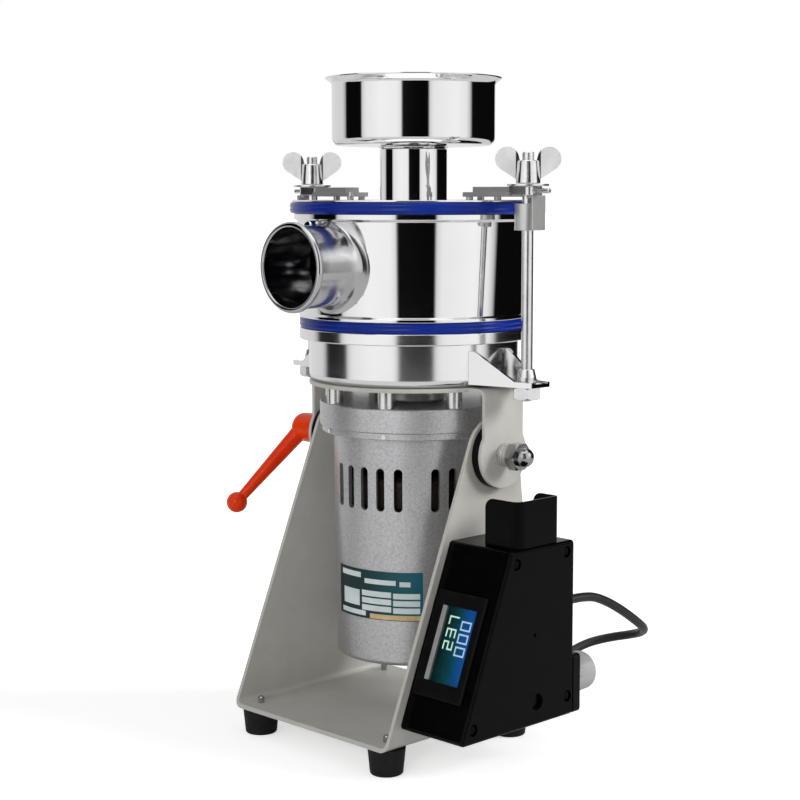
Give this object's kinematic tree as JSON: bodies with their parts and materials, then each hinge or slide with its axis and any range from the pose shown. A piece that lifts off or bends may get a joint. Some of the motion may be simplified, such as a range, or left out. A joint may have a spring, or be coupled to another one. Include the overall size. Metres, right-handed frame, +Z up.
{
  "type": "electric grain mill",
  "caption": "Upright electric grain mill: steel cradle, tilting motor head, clamped grinding chamber with side outlet, feed hopper and speed control box.",
  "frame": {"origin": "centre of the machine's footprint at floor level", "axes": "+Z up, -Y towards the outlet (front), +X towards the control box (the machine's right seen from the front)"},
  "size_m": [0.303, 0.3002, 0.5012],
  "materials": {
    "greige_paint": "satin",
    "hammertone_paint": "hammered",
    "polished_steel": "polished",
    "zinc_steel": "satin",
    "ground_steel": "ground",
    "core_steel": "lacquered",
    "blue_silicone": "glossy",
    "red_lever": "glossy",
    "box_black": "semi-gloss",
    "trim_black": "satin",
    "rocker_black": "glossy",
    "knob_grey": "satin",
    "meter_glass": "clear",
    "board_green": "satin",
    "plate_aluminium": "satin",
    "foot_rubber": "matte",
    "cord_rubber": "satin",
    "brass": "satin"
  },
  "bodies": {
    "cradle": {"cradle_frame": "greige_paint", "rubber_feet": "foot_rubber", "foot_screws": "zinc_steel", "pivot_bolt_right": "zinc_steel", "pivot_stud_left": "zinc_steel", "pivot_spacers": "trim_black", "pivot_washers": "zinc_steel", "pivot_nut_right": "polished_steel", "control_box_body": "box_black", "control_box_cover": "box_black", "cover_screws": "box_black", "meter_bezel": "trim_black", "meter_window": "meter_glass", "meter_board": "board_green", "switch_guard": "box_black", "switch_frame": "trim_black", "knob_plate": "trim_black", "speed_board": "board_green", "cord_gland": "trim_black", "power_cord": "cord_rubber", "power_cord_coil": "cord_rubber", "power_plug": "cord_rubber"},
    "head": {"head_bracket": "greige_paint", "standoff_posts": "zinc_steel", "motor_collar": "hammertone_paint", "collar_screws": "zinc_steel", "motor_housing": "hammertone_paint", "motor_end_cap": "hammertone_paint", "nameplate": "plate_aluminium", "stator": "core_steel", "brush_holders": "brass", "bearings": "ground_steel", "grinding_bowl": "polished_steel", "grinding_ring": "ground_steel", "lower_gasket": "blue_silicone", "upper_chamber": "polished_steel", "upper_gasket": "blue_silicone", "lid_plate": "polished_steel", "feed_tube": "polished_steel", "clamp_brackets": "polished_steel", "clamp_rods": "zinc_steel", "rod_bushings": "zinc_steel", "rod_nuts": "zinc_steel", "guide_sleeves": "polished_steel", "clamp_arms": "polished_steel", "arm_end_blocks": "zinc_steel", "clamp_washers": "zinc_steel"},
    "rotor": {"motor_shaft": "ground_steel", "armature": "core_steel", "commutator": "brass", "cooling_fan": "trim_black", "beater_disc": "ground_steel", "air_impeller": "ground_steel", "rotor_nut": "zinc_steel"},
    "lever": {"tilt_lever": "red_lever"},
    "wing_left": {"wing_nut_left": "zinc_steel"},
    "wing_right": {"wing_nut_right": "zinc_steel"},
    "hopper": {"hopper": "polished_steel"},
    "knob": {"speed_knob": "knob_grey"},
    "rocker": {"power_rocker": "rocker_black"}
  },
  "joints": [
    {"name": "head_tilt", "type": "hinge", "parent": "cradle", "child": "head", "pos_m": [0.00649, 0.016, 0.224], "axis": [1, 0, 0], "range_deg": [0, 90]},
    {"name": "rotor_spin", "type": "hinge", "parent": "head", "child": "rotor", "pos_m": [0.00649, 0.016, 0.062], "axis": [0, 0, 1], "continuous": true},
    {"name": "lever_turn", "type": "hinge", "parent": "cradle", "child": "lever", "pos_m": [-0.08791, 0.016, 0.224], "axis": [1, 0, 0], "range_deg": [-40, 75]},
    {"name": "wing_right_turn", "type": "hinge", "parent": "head", "child": "wing_right", "pos_m": [0.12199, 0.016, 0.4217], "axis": [0, 0, 1], "continuous": true},
    {"name": "wing_left_turn", "type": "hinge", "parent": "head", "child": "wing_left", "pos_m": [-0.10901, 0.016, 0.4217], "axis": [0, 0, 1], "continuous": true},
    {"name": "hopper_lift", "type": "slide", "parent": "head", "child": "hopper", "axis": [0, 0, 1], "range_m": [0, 0.06]},
    {"name": "knob_turn", "type": "hinge", "parent": "cradle", "child": "knob", "pos_m": [0.12949, 0.037, 0.057], "axis": [0, -1, 0], "range_deg": [0, 270]},
    {"name": "switch_rock", "type": "hinge", "parent": "cradle", "child": "rocker", "pos_m": [0.13349, -0.001, 0.164], "axis": [1, 0, 0], "range_deg": [-14, 0]}
  ]
}
